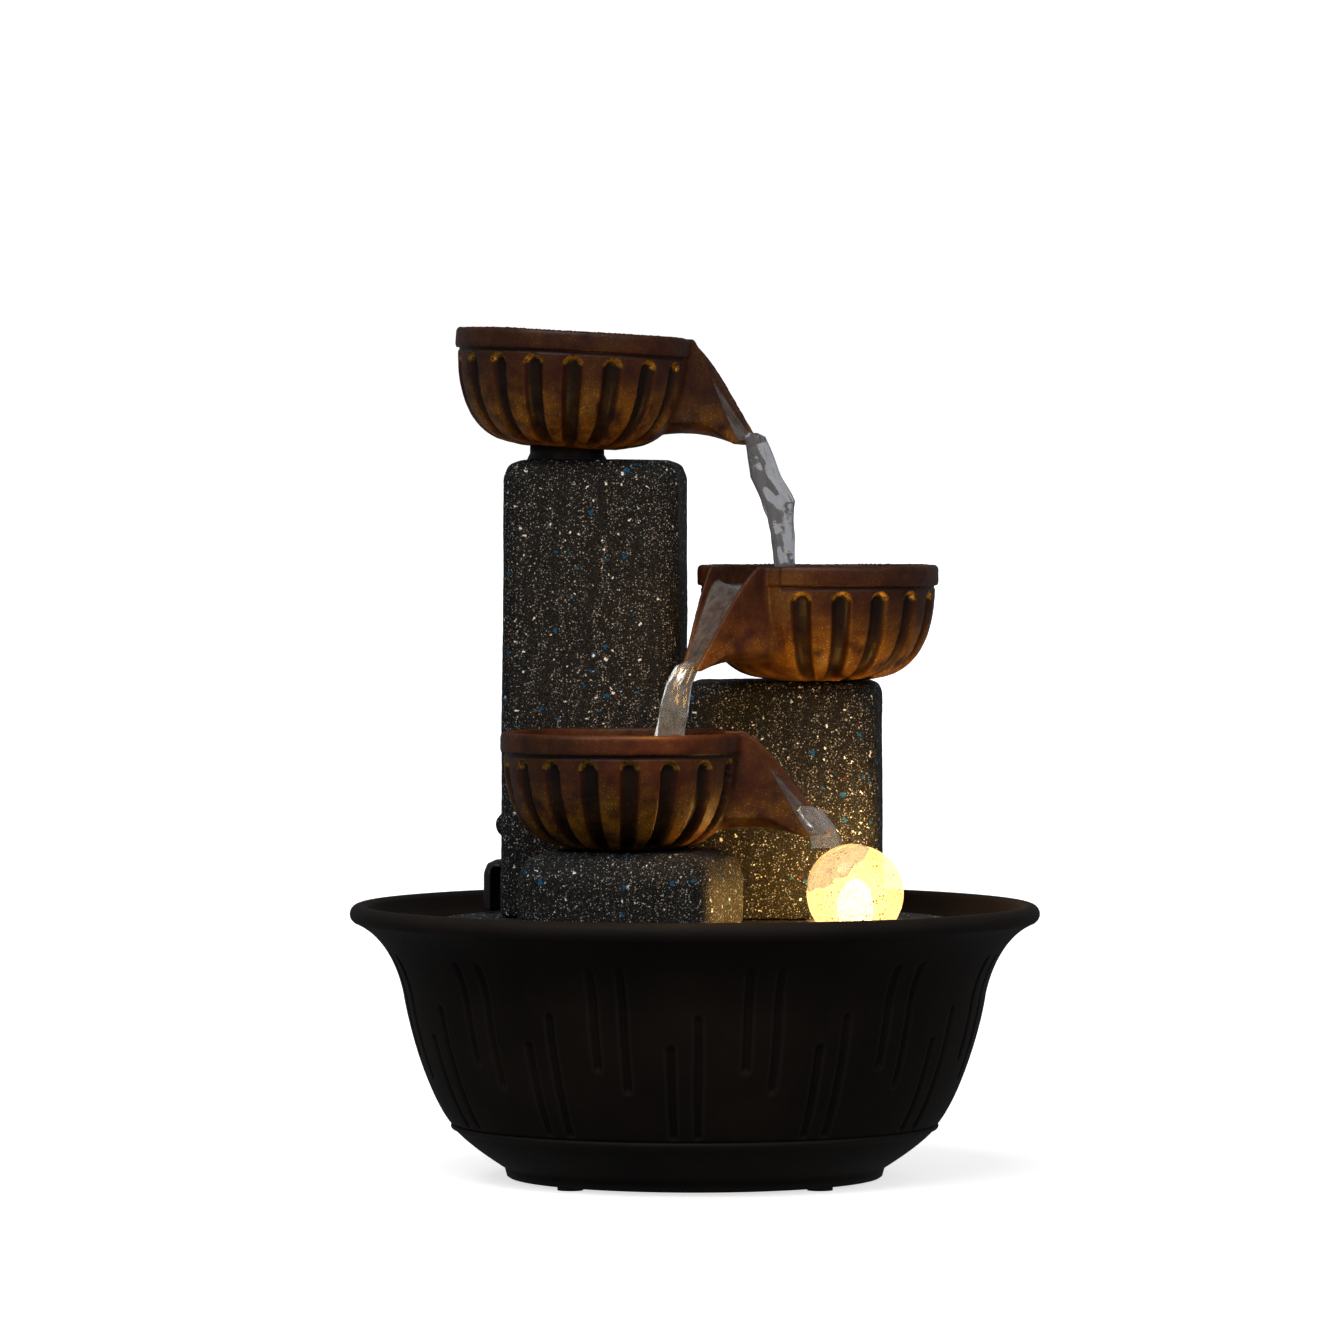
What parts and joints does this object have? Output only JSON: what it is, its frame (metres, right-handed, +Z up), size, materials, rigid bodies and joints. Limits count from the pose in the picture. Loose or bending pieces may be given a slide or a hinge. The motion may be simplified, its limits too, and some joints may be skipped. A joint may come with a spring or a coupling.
{
  "type": "tabletop water fountain",
  "caption": "Round flared basin with a speckled tower of pillars and spouted bowls that pour into each other and onto a lit glass ball.",
  "frame": {"origin": "centre of the basin's underside, on the surface the fountain stands on", "axes": "+Z up; -Y towards the viewer at the front; +X to the viewer's right"},
  "size_m": [0.2156, 0.2156, 0.2669],
  "materials": {
    "basin_resin": "fine-grained matte, dark brown-black",
    "bowl_resin": "semi-gloss reddish brown, dusted with gold",
    "speckled_resin": "fine dark grain with white and blue specks",
    "black_plastic": "satin",
    "rubber": "matte",
    "hose": "soft translucent",
    "steel": "stainless",
    "magnet": "ferrite grey",
    "ceramic": "polished",
    "ball_glass": "crackled glass, lit from below",
    "lens": "clear",
    "circuit": "solder-masked board",
    "emitter": "warm light-emitting diode",
    "water": "clear water"
  },
  "bodies": {
    "basin": {"basin": "basin_resin", "foot_pad_1": "rubber", "foot_pad_2": "rubber", "foot_pad_3": "rubber", "foot_pad_4": "rubber"},
    "ball": {"ball": "ball_glass"},
    "rotor": {"rotor_magnet": "magnet", "impeller": "black_plastic"},
    "flow_dial": {"flow_dial": "black_plastic"},
    "rear_cover": {"rear_cover": "black_plastic"},
    "tower": {"ball_seat": "black_plastic", "bowl_grommet": "rubber", "deck": "speckled_resin", "deck_leg_1": "black_plastic", "deck_leg_2": "black_plastic", "deck_leg_3": "black_plastic", "deck_leg_4": "black_plastic", "lead_clip": "black_plastic", "led_1": "emitter", "led_2": "emitter", "led_3": "emitter", "led_board": "circuit", "led_housing": "black_plastic", "led_lead": "rubber", "led_lens": "lens", "led_screw_1": "steel", "led_screw_2": "steel", "led_screw_3": "steel", "lower_bowl": "bowl_resin", "middle_bowl": "bowl_resin", "middle_pillar": "speckled_resin", "neck_collar": "black_plastic", "pillar_screw_1": "steel", "pillar_screw_2": "steel", "pillar_screw_3": "steel", "pillar_screw_4": "steel", "pillar_screw_5": "steel", "pillar_screw_6": "steel", "pump_body": "black_plastic", "pump_cover": "black_plastic", "pump_gland": "rubber", "pump_o_ring": "rubber", "riser_hose": "hose", "riser_outlet": "black_plastic", "rotor_shaft": "ceramic", "shaft_bush_rear": "rubber", "short_pillar": "speckled_resin", "suction_foot_1": "rubber", "suction_foot_2": "rubber", "suction_foot_3": "rubber", "suction_foot_4": "rubber", "tall_pillar": "speckled_resin", "upper_bowl": "bowl_resin"}
  },
  "joints": [
    {"name": "tower_lift", "type": "slide", "parent": "basin", "child": "tower", "axis": [0, 0, 1], "range_m": [0, 0.12]},
    {"name": "ball_roll", "type": "hinge", "parent": "tower", "child": "ball", "pos_m": [0.0494, -0.034, 0.0913], "axis": [0, 1, 0], "continuous": true},
    {"name": "rotor_spin", "type": "hinge", "parent": "tower", "child": "rotor", "pos_m": [-0.027, 0.012, 0.026], "axis": [1, 0, 0], "continuous": true},
    {"name": "flow_dial_turn", "type": "hinge", "parent": "tower", "child": "flow_dial", "pos_m": [-0.027, 0.012, 0.026], "axis": [1, 0, 0], "range_deg": [0, 30]},
    {"name": "rear_cover_lift", "type": "slide", "parent": "tower", "child": "rear_cover", "axis": [0, 0, 1], "range_m": [0, 0.05]}
  ]
}
